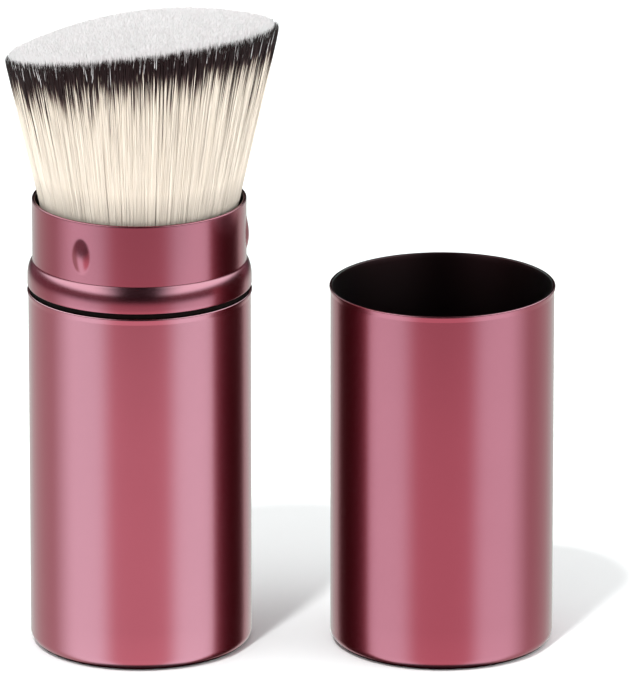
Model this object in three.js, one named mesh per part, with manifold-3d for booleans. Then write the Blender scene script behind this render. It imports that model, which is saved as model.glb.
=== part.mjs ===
// Retractable makeup brush with its cap taken off, in millimetres, +Z up.
// The origin is the centre of the base's underside, and the front of the brush faces -Y.
// The sleeve is down here, as in use. It slides up out of the base to gather the tuft in.

import * as THREE from 'three';
import { mergeVertices } from 'three/addons/utils/BufferGeometryUtils.js';
import Module from 'manifold-3d';

const wasm = await Module();
wasm.setup();

// Drawn aluminium shells
const shellWall = 0.5;
const shellEdgeRadius = 1.3;
const baseRadius = 17;
const baseHeight = 56.3;
const capHeight = 56.7;
const capFit = 0.1;
const capPlaceX = 46.2;
const capPlaceY = 0.2;

// Sleeve, with its neck, bead and bumps
const neckStep = 1;
const neckHeight = 9.6;
const beadHeight = 4.1;
const beadLowerRadius = 0.8;
const beadShoulder = 0.34;
const beadCrownHeight = 2.4;
const bumpWidth = 2.9;
const bumpLength = 5.5;
const bumpHeight = 0.5;
const bumpDrop = 5.4;
const bumpCount = 3;
const firstBumpAngle = THREE.MathUtils.degToRad(-34.2);

// Running and fixed clearances
const slideClearance = 0.3;
const restClearance = 0.1;
const stopClearance = 0.2;
const fixedGap = 0.1;

// Moulded liner of the base, whose collar shows as the dark line under the bead
const linerFit = 0.3;
const linerWall = 0.6;
const linerFootGap = 0.3;
const collarThickness = 0.6;
const collarRecess = 0.3;

// Moulded stem, its foot and the adhesive disc under it
const tapeThickness = 0.4;
const tapeMargin = 1;
const footThickness = 2;
const stemRadius = 4;
const ribReach = 8;
const ribThickness = 1.8;
const ribCount = 4;

// Moulded bush in the sleeve's lower end, and the rubber ring in its groove
const bushRestGap = 9.1;
const bushFlangeHeight = 2.4;
const bushSpigotHeight = 2.4;
const bushSpigotWall = 1.2;
const grooveDepth = 0.9;
const grooveHeight = 1.2;
const ringPlay = 0.1;
const ringRub = 0.1;

// Ferrule, its screw and washer, the glue and the thread round the roots
const ferruleClearance = 0.4;
const ferruleWall = 0.4;
const ferruleHeight = 13;
const ferruleDrop = 10.7;
const screwRadius = 1.35;
const screwLength = 10;
const screwHeadRadius = 2.6;
const screwHeadHeight = 1.5;
const screwSlotWidth = 0.8;
const screwSlotDepth = 0.7;
const screwHoleGap = 0.15;
const screwHoleRunout = 1;
const washerRadius = 4.5;
const washerThickness = 0.5;
const glueDepth = 3;
const threadThickness = 0.6;
const threadHeight = 2.4;

// Tuft: strands in rings, flaring as far as the neck lets them, cut on the slant with a low dome
const rootDepth = 1;
const rootMargin = 0.4;
const rootSink = 0.6;
const tuftClearance = 0.27;
const cutRise = 29.4;
const cutSlant = THREE.MathUtils.degToRad(12);
const cutFacing = THREE.MathUtils.degToRad(-50.8);
const cutDome = 3.95;
const strandRings = 11;
const strandsInFirstRing = 6;
const strandFillShare = 0.68;
const sliceGap = 0.1;
const coreClearance = 0.25;
const outerSlices = 3;

// How finely round shapes are divided
const roundSides = 48;
const smallSides = 24;
const edgeSteps = 4;
const crownSteps = 5;
const domeSteps = 3;
const sliceSteps = 16;

// How far a cutting body runs past what it cuts
const cutOverrun = 1;

// Radii, from the base's wall inwards
const baseBore = baseRadius - shellWall;
const linerRadius = baseBore - linerFit;
const linerBore = linerRadius - linerWall;
const tubeRadius = linerBore - slideClearance;
const tubeBore = tubeRadius - shellWall;
const ferruleRadius = tubeBore - ferruleClearance;
const ferruleBore = ferruleRadius - ferruleWall;
const threadRadius = ferruleBore - fixedGap;
const rootBlockRadius = threadRadius - threadThickness - fixedGap;
const tuftRootRadius = rootBlockRadius - rootMargin;
const neckRadius = baseRadius - neckStep;
const neckBore = neckRadius - shellWall;
const capBore = neckRadius + bumpHeight + capFit;
const capRadius = capBore + shellWall;
const footRadius = linerBore - slideClearance;

// Levels above the surface that the base stands on
const footLevel = shellWall + tapeThickness;
const footTop = footLevel + footThickness;
const bushLevel = footTop + bushRestGap;
const tubeLevel = bushLevel + bushFlangeHeight;
const bushTop = tubeLevel + bushSpigotHeight;
const collarTop = baseHeight + collarThickness;
const beadLevel = collarTop + restClearance;
const beadTop = beadLevel + beadHeight;
const neckRim = beadTop + neckHeight;
const ferruleTop = neckRim - ferruleDrop;
const ferruleLevel = ferruleTop - ferruleHeight;
const ferruleFloor = ferruleLevel + ferruleWall;
const washerTop = ferruleFloor + washerThickness;
const screwTop = washerTop + screwHeadHeight;
const screwTip = washerTop - screwLength;
const glueTop = ferruleFloor + glueDepth;
const rootLevel = ferruleTop - rootDepth;
const cutLevel = neckRim + cutRise;

// The bush's rise from rest to the ferrule's underside, where it stops
export const sleeveTravel = ferruleLevel - stopClearance - bushTop;

// Shape of the tuft. Every strand lies on a line through one point under the roots, so none cross.
// A point of the roots' plane moves out by the spread for each millimetre that its strand rises.
const tuftRimRadius = neckBore - tuftClearance;
const tuftSpread = (tuftRimRadius / tuftRootRadius - 1) / (neckRim - rootLevel);
const tuftTipRadius = tuftRootRadius * (1 + tuftSpread * (cutLevel - cutDome - rootLevel));
const ringPitch = tuftRootRadius / (strandRings + strandFillShare / 2);
const strandHalfWidth = (ringPitch * strandFillShare) / 2;
const sliceTurn = (2 * Math.PI) / outerSlices;
const frontSliceEnd = -Math.PI / 2 + sliceTurn / 2;

// Finishes, as colour, roughness and metalness
const finishes = {
  anodised: [0xa14d5c, 0.32, 1],
  aluminium: [0xc9cacc, 0.35, 1],
  steel: [0x9da0a4, 0.3, 1],
  blackPlastic: [0x151314, 0.55, 0],
  greyPlastic: [0x6f7072, 0.6, 0],
  rubber: [0x1d1c1c, 0.9, 0],
  tape: [0xe9e6da, 0.9, 0],
  glue: [0xd8c9a0, 0.4, 0],
  thread: [0xe6e1d6, 0.9, 0],
  hair: [0xeee3cc, 0.7, 0],
};

// A bare geometry whose triangles share their vertices, without those that have collapsed to a line
function tidied(geometry) {
  geometry.deleteAttribute('normal');
  geometry.deleteAttribute('uv');
  const merged = mergeVertices(geometry);
  const corners = merged.index.array;
  const kept = [];
  for (let i = 0; i < corners.length; i += 3) {
    const [a, b, c] = corners.slice(i, i + 3);
    if (a !== b && b !== c && c !== a) kept.push(a, b, c);
  }
  merged.setIndex(kept);
  return merged;
}

function solidOf(geometry) {
  const { position } = geometry.attributes;
  return new wasm.Manifold(
    new wasm.Mesh({
      numProp: 3,
      vertProperties: new Float32Array(position.array),
      triVerts: new Uint32Array(geometry.index.array),
    }),
  );
}

function geometryOf(solid) {
  const mesh = solid.getMesh();
  const geometry = new THREE.BufferGeometry();
  geometry.setAttribute('position', new THREE.BufferAttribute(mesh.vertProperties, 3));
  geometry.setIndex(new THREE.BufferAttribute(mesh.triVerts, 1));
  return geometry;
}

// A solid turned about Z from [radius, height] points that run up its outside
function turned(points, sides = roundSides) {
  const outline = points.map(([radius, height]) => new THREE.Vector2(radius, height));
  const geometry = new THREE.LatheGeometry(outline, sides);
  geometry.rotateX(Math.PI / 2);
  return tidied(geometry);
}

// A plain disc, or a plain ring where it has a bore
function disc(radius, bottom, top, sides = roundSides) {
  return turned([[0, bottom], [radius, bottom], [radius, top], [0, top]], sides);
}

function ring(bore, radius, bottom, top) {
  return turned([[bore, bottom], [radius, bottom], [radius, top], [bore, top], [bore, bottom]]);
}

function box(width, depth, bottom, top) {
  const geometry = new THREE.BoxGeometry(width, depth, top - bottom);
  geometry.translate(0, 0, (bottom + top) / 2);
  return tidied(geometry);
}

// Points along part of an ellipse, both ends included
function arc([x, y], [reachX, reachY], from, to, steps) {
  return Array.from({ length: steps + 1 }, (_, i) => {
    const angle = from + ((to - from) * i) / steps;
    return [x + reachX * Math.cos(angle), y + reachY * Math.sin(angle)];
  });
}

// A drawn cup: closed end down, rounded outside and inside at its lower edge
function cup(radius, height) {
  const centre = [radius - shellEdgeRadius, shellEdgeRadius];
  const inner = shellEdgeRadius - shellWall;
  return turned([
    [0, 0],
    ...arc(centre, [shellEdgeRadius, shellEdgeRadius], -Math.PI / 2, 0, edgeSteps),
    [radius, height],
    [radius - shellWall, height],
    ...arc(centre, [inner, inner], 0, -Math.PI / 2, edgeSteps),
    [0, shellWall],
  ]);
}

function baseLiner() {
  return turned([
    [linerBore, shellEdgeRadius + linerFootGap],
    [linerRadius, shellEdgeRadius + linerFootGap],
    [linerRadius, baseHeight],
    [baseRadius - collarRecess, baseHeight],
    [baseRadius - collarRecess, collarTop],
    [linerBore, collarTop],
    [linerBore, shellEdgeRadius + linerFootGap],
  ]);
}

// The stem's section between two levels: a round column with ribs, made larger by a clearance
function stemSection(bottom, top, clearance) {
  const ribs = Array.from({ length: ribCount / 2 }, (_, i) => {
    const rib = box(2 * (ribReach + clearance), ribThickness + 2 * clearance, bottom, top);
    rib.rotateZ((2 * Math.PI * i) / ribCount);
    return solidOf(rib);
  });
  return ribs.reduce(
    (joined, rib) => joined.add(rib),
    solidOf(disc(stemRadius + clearance, bottom, top, smallSides)),
  );
}

function brushStem() {
  const foot = solidOf(disc(footRadius, footLevel, footTop));
  const hole = disc(
    screwRadius + screwHoleGap,
    screwTip - screwHoleRunout,
    ferruleLevel + cutOverrun,
    smallSides,
  );
  return geometryOf(foot.add(stemSection(footLevel, ferruleLevel, 0)).subtract(solidOf(hole)));
}

function ferrule() {
  return turned([
    [screwRadius + screwHoleGap, ferruleLevel],
    [ferruleRadius, ferruleLevel],
    [ferruleRadius, ferruleTop],
    [ferruleBore, ferruleTop],
    [ferruleBore, ferruleFloor],
    [screwRadius + screwHoleGap, ferruleFloor],
    [screwRadius + screwHoleGap, ferruleLevel],
  ]);
}

function ferruleScrew() {
  const body = turned(
    [
      [0, screwTip],
      [screwRadius, screwTip + screwRadius],
      [screwRadius, washerTop],
      [screwHeadRadius, washerTop],
      [screwHeadRadius, screwTop - screwSlotDepth],
      [screwHeadRadius - screwSlotDepth, screwTop],
      [0, screwTop],
    ],
    smallSides,
  );
  const slotLength = 2 * (screwHeadRadius + cutOverrun);
  const slot = box(slotLength, screwSlotWidth, screwTop - screwSlotDepth, screwTop + cutOverrun);
  return geometryOf(solidOf(body).subtract(solidOf(slot)));
}

function ferruleWasher() {
  return ring(screwRadius + screwHoleGap, washerRadius, ferruleFloor, washerTop);
}

// Set glue on the ferrule's floor, round the washer and the screw's head
function gluePlug() {
  return turned([
    [0, screwTop + fixedGap],
    [screwHeadRadius + fixedGap, screwTop + fixedGap],
    [screwHeadRadius + fixedGap, washerTop + fixedGap],
    [washerRadius + fixedGap, washerTop + fixedGap],
    [washerRadius + fixedGap, ferruleFloor],
    [ferruleBore - fixedGap, ferruleFloor],
    [ferruleBore - fixedGap, glueTop],
    [0, glueTop],
  ]);
}

function rootThread() {
  return ring(threadRadius - threadThickness, threadRadius, glueTop, glueTop + threadHeight);
}

// How far the strand rooted at [x, y] has moved out, as a ratio, where it meets the slanted, domed cut
function stretchAtCut(x, y) {
  const slope = Math.tan(cutSlant) * (x * Math.cos(cutFacing) + y * Math.sin(cutFacing));
  const fall = (cutDome * (x * x + y * y)) / tuftTipRadius ** 2;
  const b = 1 / tuftSpread - slope;
  const c = rootLevel - 1 / tuftSpread - cutLevel;
  return (-2 * c) / (b + Math.sqrt(b * b - 4 * fall * c));
}

function pointOnStrand(x, y, stretch) {
  return [x * stretch, y * stretch, rootLevel + (stretch - 1) / tuftSpread];
}

// Eight corners of the four-sided strand in a ring at an angle, its sunk root first and its tip last
function strandCorners(ringIndex, angle) {
  const sunk = 1 - tuftSpread * rootSink;
  const corners = [[-1, -1], [1, -1], [1, 1], [-1, 1]].map(([outward, sideways]) => {
    const along = ringIndex * ringPitch + outward * strandHalfWidth;
    const across = sideways * strandHalfWidth;
    return [
      along * Math.cos(angle) - across * Math.sin(angle),
      along * Math.sin(angle) + across * Math.cos(angle),
    ];
  });
  const root = corners.map(([x, y]) => pointOnStrand(x, y, sunk));
  const tip = corners.map(([x, y]) => pointOnStrand(x, y, stretchAtCut(x, y)));
  return [...root, ...tip];
}

const strandFaces = [
  0, 2, 1, 0, 3, 2, 4, 5, 6, 4, 6, 7, 0, 1, 5, 0, 5, 4, 1, 2, 6, 1, 6, 5, 2, 3, 7, 2, 7, 6, 3, 0, 4, 3, 4, 7,
];

// Strands as one solid. Each place is a ring's index and an angle.
function strandsAt(places) {
  const strands = places.map(([ringIndex, angle]) => strandCorners(ringIndex, angle));
  const geometry = new THREE.BufferGeometry();
  geometry.setAttribute('position', new THREE.Float32BufferAttribute(strands.flat(2), 3));
  geometry.setIndex(strands.flatMap((corners, i) => strandFaces.map((f) => f + i * corners.length)));
  return solidOf(geometry);
}

// Places in one ring, all round or within one slice. Slices meet midway between two strands.
function placesInRing(ringIndex, slice = null) {
  if (ringIndex === 0) return [[0, 0]];
  const count = ringIndex * strandsInFirstRing;
  const all = Array.from({ length: count }, (_, i) => frontSliceEnd + (2 * Math.PI * (i + 0.5)) / count);
  const own = slice === null ? all : all.slice((count / outerSlices) * slice, (count / outerSlices) * (slice + 1));
  return own.map((angle) => [ringIndex, angle]);
}

// The farthest that a ring's tips reach from the axis, on the side where the cut is highest
function reachOfRing(ringIndex) {
  const corner = Math.hypot(ringIndex * ringPitch + strandHalfWidth, strandHalfWidth);
  return corner * stretchAtCut(corner * Math.cos(cutFacing), corner * Math.sin(cutFacing));
}

const ringIndices = Array.from({ length: strandRings + 1 }, (_, i) => i);
const coreLimit = tubeBore * Math.cos(Math.PI / roundSides) - coreClearance;
const coreRings = ringIndices.filter((i) => reachOfRing(i) <= coreLimit);
const outerRings = ringIndices.filter((i) => reachOfRing(i) > coreLimit);
const sliceBorder = (coreRings.length - 0.5) * ringPitch;

// Hair that stays inside the sleeve's bore at every height, fused to the middle of the set roots
function coreBristles() {
  const block = solidOf(disc(sliceBorder - sliceGap / 2, glueTop, rootLevel));
  return geometryOf(block.add(strandsAt(coreRings.flatMap((i) => placesInRing(i)))));
}

// One third of the hair round the core, fused to its slice of the set roots
function outerBristles(slice) {
  const start = frontSliceEnd + sliceTurn * slice;
  const bore = sliceBorder + sliceGap / 2;
  const outerMargin = Math.asin(sliceGap / 2 / rootBlockRadius);
  const innerMargin = Math.asin(sliceGap / 2 / bore);
  const outline = new THREE.Shape();
  outline.absarc(0, 0, rootBlockRadius, start + outerMargin, start + sliceTurn - outerMargin, false);
  outline.absarc(0, 0, bore, start + sliceTurn - innerMargin, start + innerMargin, true);
  outline.closePath();
  const block = new THREE.ExtrudeGeometry(outline, {
    depth: rootLevel - glueTop,
    bevelEnabled: false,
    curveSegments: sliceSteps,
  });
  block.translate(0, 0, glueTop);
  const strands = strandsAt(outerRings.flatMap((i) => placesInRing(i, slice)));
  return geometryOf(solidOf(tidied(block)).add(strands));
}

// An oval bump on the neck, at an angle from the front towards +X
function neckBump(angle) {
  const sunk = shellWall / 2;
  const rise = bumpHeight + sunk;
  const dome = turned([[0, 0], ...arc([0, 0], [1, rise], 0, Math.PI / 2, domeSteps)], smallSides);
  dome.scale(bumpWidth / 2, bumpLength / 2, 1);
  dome.rotateX(Math.PI / 2);
  dome.translate(0, sunk - neckRadius, neckRim - bumpDrop);
  dome.rotateZ(angle);
  return solidOf(dome);
}

function neckSleeve() {
  const lowerCentre = [baseRadius - beadLowerRadius, beadLevel + beadLowerRadius];
  const crownReach = neckStep - beadShoulder;
  const crownCentre = [baseRadius - crownReach, beadTop - beadCrownHeight];
  const shell = turned([
    [tubeBore, tubeLevel],
    [tubeRadius, tubeLevel],
    [tubeRadius, beadLevel],
    ...arc(lowerCentre, [beadLowerRadius, beadLowerRadius], -Math.PI / 2, 0, edgeSteps),
    ...arc(crownCentre, [crownReach, beadCrownHeight], 0, Math.PI / 2, crownSteps),
    [neckRadius, beadTop],
    [neckRadius, neckRim],
    [neckBore, neckRim],
    [neckBore, beadLevel + shellWall],
    [tubeBore, beadLevel + shellWall],
    [tubeBore, tubeLevel],
  ]);
  const bumps = Array.from({ length: bumpCount }, (_, i) =>
    neckBump(firstBumpAngle + (2 * Math.PI * i) / bumpCount),
  );
  return geometryOf(bumps.reduce((joined, bump) => joined.add(bump), solidOf(shell)));
}

const grooveLevel = bushLevel + (bushFlangeHeight - grooveHeight) / 2;
const grooveRadius = tubeRadius - grooveDepth;
const spigotRadius = tubeBore - fixedGap;

function slideBush() {
  const body = turned([
    [0, bushLevel],
    [tubeRadius, bushLevel],
    [tubeRadius, grooveLevel],
    [grooveRadius, grooveLevel],
    [grooveRadius, grooveLevel + grooveHeight],
    [tubeRadius, grooveLevel + grooveHeight],
    [tubeRadius, tubeLevel],
    [spigotRadius, tubeLevel],
    [spigotRadius, bushTop],
    [spigotRadius - bushSpigotWall, bushTop],
    [spigotRadius - bushSpigotWall, tubeLevel],
    [0, tubeLevel],
  ]);
  const bore = stemSection(bushLevel - cutOverrun, tubeLevel + cutOverrun, slideClearance);
  return geometryOf(solidOf(body).subtract(bore));
}

function frictionRing() {
  return ring(
    grooveRadius + ringPlay,
    linerBore - ringRub,
    grooveLevel,
    grooveLevel + grooveHeight - ringPlay,
  );
}

function named(name, geometry, finish) {
  const [color, roughness, metalness] = finishes[finish];
  const mesh = new THREE.Mesh(geometry, new THREE.MeshStandardMaterial({ color, roughness, metalness }));
  mesh.name = name;
  return mesh;
}

const base = new THREE.Group();
base.add(
  named('base_shell', cup(baseRadius, baseHeight), 'anodised'),
  named('base_liner', baseLiner(), 'blackPlastic'),
  named('base_tape', disc(footRadius - tapeMargin, shellWall, footLevel), 'tape'),
  named('brush_stem', brushStem(), 'greyPlastic'),
  named('ferrule', ferrule(), 'aluminium'),
  named('ferrule_screw', ferruleScrew(), 'steel'),
  named('ferrule_washer', ferruleWasher(), 'steel'),
  named('glue_plug', gluePlug(), 'glue'),
  named('root_thread', rootThread(), 'thread'),
  named('bristles_core', coreBristles(), 'hair'),
);
['bristles_right', 'bristles_left', 'bristles_front'].forEach((name, slice) => {
  base.add(named(name, outerBristles(slice), 'hair'));
});

const sleeve = new THREE.Group();
sleeve.add(
  named('neck_sleeve', neckSleeve(), 'anodised'),
  named('slide_bush', slideBush(), 'blackPlastic'),
  named('friction_ring', frictionRing(), 'rubber'),
);

const cap = new THREE.Group();
cap.position.set(capPlaceX, capPlaceY, 0);
cap.add(named('cap_shell', cup(capRadius, capHeight), 'anodised'));

const brush = new THREE.Group();
brush.add(base, sleeve, cap);

export default brush;
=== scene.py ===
"""Dresses a packed retractable makeup brush: its drawn shells, its tuft, its finishes and a plain studio.

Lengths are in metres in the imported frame: Z runs up the brush's axis, the front faces -Y and the cap
stands on +X.
"""

import math

import bpy
import numpy as np
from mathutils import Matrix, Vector


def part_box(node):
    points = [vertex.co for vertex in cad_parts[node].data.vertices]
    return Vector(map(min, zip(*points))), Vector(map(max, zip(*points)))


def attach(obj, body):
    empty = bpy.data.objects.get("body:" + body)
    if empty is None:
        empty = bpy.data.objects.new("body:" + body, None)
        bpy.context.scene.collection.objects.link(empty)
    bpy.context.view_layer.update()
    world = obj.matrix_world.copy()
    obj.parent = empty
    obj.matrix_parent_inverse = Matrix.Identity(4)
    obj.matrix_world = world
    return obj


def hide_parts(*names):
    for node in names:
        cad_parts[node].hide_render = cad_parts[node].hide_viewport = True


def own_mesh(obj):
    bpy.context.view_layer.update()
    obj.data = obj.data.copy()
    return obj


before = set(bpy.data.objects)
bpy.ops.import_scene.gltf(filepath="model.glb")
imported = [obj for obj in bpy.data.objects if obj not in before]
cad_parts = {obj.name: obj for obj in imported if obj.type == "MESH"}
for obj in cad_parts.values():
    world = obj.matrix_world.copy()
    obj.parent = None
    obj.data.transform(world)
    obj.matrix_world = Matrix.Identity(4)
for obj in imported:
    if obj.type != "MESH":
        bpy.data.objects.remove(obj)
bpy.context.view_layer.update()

bl_info = {
    "name": "Retractable Makeup Brush",
    "version": (1, 0, 0),
    "blender": (4, 5, 0),
    "location": "View3D > Sidebar > Brush",
    "description": "Builds a retractable makeup brush with its cap taken off",
    "category": "Add Mesh",
}

MM = 0.001
BASE_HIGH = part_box("base_shell")[1]
CAP_LOW, CAP_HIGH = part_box("cap_shell")
SLEEVE_LOW, SLEEVE_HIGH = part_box("neck_sleeve")
BASE_PLACE = (0, 0)
CAP_PLACE = tuple(((CAP_LOW + CAP_HIGH) / 2).xy)

# Shells and sleeve
RIM_LOOP = 0.1 * MM  # a loop this far from a rim or a crease keeps its shading off the wall
MERGE_DISTANCE = 1e-7
SMOOTH_ANGLE = math.radians(40)
INSIDE_FACING = -0.3  # a face turned further than this towards a shell's axis is an inside one, which gets painted shade
BUMP_STEEPNESS = 1.3
BUMP_SAG = 0.35  # how far a bump's crest sinks below its middle
BUMP_PEAK = 1.1  # the sunken crest's weight, which is brought back to 1

# Hair
HAIR_SOFTNESS = 1.2  # how far the skin's strands are shaded as one surface
HAIR_RAMP_LENGTH = 15 * MM  # length of hair, from its tip, that the colour ramp spans
DARKEST_TONE = 0.9  # brightness of the darkest strand, as a share of the lightest one's
SLEEVE_SHADE = 0.6  # painted shade: brightness that the hair keeps down in the sleeve
SHADE_HEIGHT = 5 * MM  # height above the sleeve's rim over which that painted shade fades

# Studio
STAGE_SIDES = 64
BACKDROP_SHARE = 0.98  # the backdrop's radius as a share of the floor's
FLOOR_LEVEL = -0.02 * MM
TINT_LEVEL = -0.01 * MM
SPOT_LEVEL = -0.005 * MM
# gap between a shell and the screen that glows with its painted reflection
SCREEN_GAP = 0.3 * MM
SPOT_MARGIN = 0.5 * MM


class ShellSizes(bpy.types.PropertyGroup):
    """Sizes of the two deep-drawn cups"""

    base_radius: bpy.props.FloatProperty(
        name="Base radius", description="Outside radius of the base", default=BASE_HIGH.x, unit="LENGTH"
    )
    base_height: bpy.props.FloatProperty(
        name="Base height", description="Height of the base's wall", default=BASE_HIGH.z, unit="LENGTH"
    )
    cap_radius: bpy.props.FloatProperty(
        name="Cap radius",
        description="Outside radius of the cap",
        default=(CAP_HIGH.x - CAP_LOW.x) / 2,
        unit="LENGTH",
    )
    cap_height: bpy.props.FloatProperty(
        name="Cap height", description="Height of the cap's wall", default=CAP_HIGH.z, unit="LENGTH"
    )
    wall: bpy.props.FloatProperty(
        name="Wall", description="Thickness of the drawn wall", default=0.5 * MM, unit="LENGTH", precision=5
    )
    edge_radius: bpy.props.FloatProperty(
        name="Edge radius",
        description="Rounding between wall and floor",
        default=1.8 * MM,
        unit="LENGTH",
        precision=5,
    )
    rim_radius: bpy.props.FloatProperty(
        name="Rim radius",
        description="Rounding of the rim's two edges",
        default=0.18 * MM,
        unit="LENGTH",
        precision=5,
    )
    lip: bpy.props.FloatProperty(
        name="Lip",
        description="How far a shell's mouth flares out",
        default=0.16 * MM,
        unit="LENGTH",
        precision=5,
    )
    lip_height: bpy.props.FloatProperty(
        name="Lip height",
        description="Height of the flare below the rim",
        default=0.9 * MM,
        unit="LENGTH",
        precision=5,
    )
    sides: bpy.props.IntProperty(
        name="Sides", description="Divisions round a shell", default=256, min=48
    )


class SleeveSizes(bpy.types.PropertyGroup):
    """Sizes of the sliding sleeve with its neck, bead and bumps"""

    tube_radius: bpy.props.FloatProperty(
        name="Tube radius",
        description="Outside radius of the part inside the base",
        default=15.3 * MM,
        unit="LENGTH",
        precision=5,
    )
    neck_radius: bpy.props.FloatProperty(
        name="Neck radius",
        description="Outside radius of the neck",
        default=16.35 * MM,
        unit="LENGTH",
        precision=5,
    )
    bead_radius: bpy.props.FloatProperty(
        name="Bead radius",
        description="Outside radius of the bead",
        default=17.13 * MM,
        unit="LENGTH",
        precision=5,
    )
    bead_level: bpy.props.FloatProperty(
        name="Bead level", description="Underside of the bead", default=57 * MM, unit="LENGTH", precision=5
    )
    bead_height: bpy.props.FloatProperty(
        name="Bead height", description="Height of the bead", default=4.1 * MM, unit="LENGTH", precision=5
    )
    bead_lower_radius: bpy.props.FloatProperty(
        name="Lower rounding",
        description="Rounding of the bead's lower edge",
        default=0.3 * MM,
        unit="LENGTH",
        precision=5,
    )
    crown_height: bpy.props.FloatProperty(
        name="Crown height",
        description="Height of the bead's rounded upper part",
        default=3.3 * MM,
        unit="LENGTH",
        precision=5,
    )
    bump_count: bpy.props.IntProperty(
        name="Bumps", description="Oval bumps round the neck", default=3, min=0
    )
    bump_width: bpy.props.FloatProperty(
        name="Bump width", description="Width of a bump", default=3.1 * MM, unit="LENGTH", precision=5
    )
    bump_length: bpy.props.FloatProperty(
        name="Bump length",
        description="Height of a bump up the neck",
        default=5.6 * MM,
        unit="LENGTH",
        precision=5,
    )
    bump_height: bpy.props.FloatProperty(
        name="Bump height",
        description="How far a bump stands out",
        default=0.42 * MM,
        unit="LENGTH",
        precision=5,
    )
    bump_drop: bpy.props.FloatProperty(
        name="Bump drop",
        description="From the rim down to a bump's middle",
        default=5.4 * MM,
        unit="LENGTH",
        precision=5,
    )
    first_bump: bpy.props.FloatProperty(
        name="First bump",
        description="Turn of the first bump from the front towards the cap",
        default=math.radians(-31.8),
        subtype="ANGLE",
    )
    sides: bpy.props.IntProperty(
        name="Sides", description="Divisions round the sleeve", default=480, min=48
    )


class TuftSizes(bpy.types.PropertyGroup):
    """Sizes of the tuft, which flares upwards and is cut on the slant"""

    inner_strands: bpy.props.IntProperty(
        name="Inner strands", description="Number of strands inside the tuft", default=19000, min=100
    )
    outer_strands: bpy.props.IntProperty(
        name="Outer strands",
        description="Number of finer strands in the tuft's skin",
        default=20000,
        min=100,
    )
    skin: bpy.props.FloatProperty(
        name="Skin", description="Share of the radius where the skin starts", default=0.9, subtype="FACTOR"
    )
    clumps: bpy.props.IntProperty(
        name="Clumps", description="Small points that the skin's tips are drawn into", default=190, min=3
    )
    gather_length: bpy.props.FloatProperty(
        name="Gather length",
        description="Length of the tips that is drawn together",
        default=6 * MM,
        unit="LENGTH",
        precision=5,
    )
    wedges: bpy.props.IntProperty(
        name="Wedges", description="Pieces that the raised sleeve gathers the tuft in by", default=24, min=3
    )
    thickness: bpy.props.FloatProperty(
        name="Strand thickness",
        description="Thickness of an inner strand",
        default=0.32 * MM,
        unit="LENGTH",
        precision=5,
    )
    fineness: bpy.props.FloatProperty(
        name="Fineness",
        description="Thickness of an outer strand as a share of an inner one's",
        default=0.35,
        subtype="FACTOR",
    )
    bundle_level: bpy.props.FloatProperty(
        name="Bundle level",
        description="Lower ends of the strands, on the glue",
        default=50.5 * MM,
        unit="LENGTH",
        precision=5,
    )
    root_level: bpy.props.FloatProperty(
        name="Root level",
        description="Where the strands start to flare",
        default=59 * MM,
        unit="LENGTH",
        precision=5,
    )
    root_radius: bpy.props.FloatProperty(
        name="Root radius",
        description="Radius of the bundle of roots",
        default=12.7 * MM,
        unit="LENGTH",
        precision=5,
    )
    spread: bpy.props.FloatProperty(
        name="Spread",
        description="Share by which a strand moves out for each millimetre it rises",
        default=0.0176,
        precision=6,
    )
    cut_level: bpy.props.FloatProperty(
        name="Cut level",
        description="Height of the cut on the axis",
        default=99.85 * MM,
        unit="LENGTH",
        precision=5,
    )
    cut_slant: bpy.props.FloatProperty(
        name="Cut slant", description="Slope of the cut", default=math.radians(12), subtype="ANGLE"
    )
    cut_facing: bpy.props.FloatProperty(
        name="Cut facing",
        description="Direction of the high side, from +X",
        default=math.radians(-50.8),
        subtype="ANGLE",
    )
    cut_dome: bpy.props.FloatProperty(
        name="Cut dome",
        description="Fall of the cut towards its edge",
        default=3.9 * MM,
        unit="LENGTH",
        precision=5,
    )
    cut_radius: bpy.props.FloatProperty(
        name="Cut radius",
        description="Radius over which the cut falls",
        default=20.5 * MM,
        unit="LENGTH",
        precision=5,
    )
    gathered: bpy.props.FloatProperty(
        name="Gathered",
        description="Share of its reach that the tuft keeps in the raised sleeve",
        default=0.7,
        subtype="FACTOR",
    )
    seed: bpy.props.IntProperty(name="Seed", description="Start of the tuft's random numbers", default=7)


class FinishColours(bpy.types.PropertyGroup):
    """Colours of the finishes that show"""

    metal: bpy.props.FloatVectorProperty(
        name="Metal",
        description="Dyed aluminium of the base",
        subtype="COLOR",
        size=3,
        default=(0.42, 0.1, 0.135),
    )
    second_metal: bpy.props.FloatVectorProperty(
        name="Second metal",
        description="Dyed aluminium of the cap and the sleeve, a shade deeper",
        subtype="COLOR",
        size=3,
        default=(0.357, 0.071, 0.1),
    )
    satin: bpy.props.FloatProperty(
        name="Satin", description="Roughness of the dyed aluminium", default=0.24, subtype="FACTOR"
    )
    # painted shade: the darker colour and roughness given to the shells' inside faces
    inside: bpy.props.FloatVectorProperty(
        name="Inside",
        description="Dark inside of the shells",
        subtype="COLOR",
        size=3,
        default=(0.06, 0.018, 0.022),
    )
    inside_satin: bpy.props.FloatProperty(
        name="Inside satin", description="Roughness of the shells' inside", default=0.35, subtype="FACTOR"
    )
    hair: bpy.props.FloatVectorProperty(
        name="Hair",
        description="Lower part of the hair",
        subtype="COLOR",
        size=3,
        default=(0.87, 0.765, 0.655),
    )
    band: bpy.props.FloatVectorProperty(
        name="Band",
        description="Dark band of the hair",
        subtype="COLOR",
        size=3,
        default=(0.026, 0.011, 0.012),
    )
    tips: bpy.props.FloatVectorProperty(
        name="Tips", description="Tips of the hair", subtype="COLOR", size=3, default=(0.80, 0.765, 0.77)
    )


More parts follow.
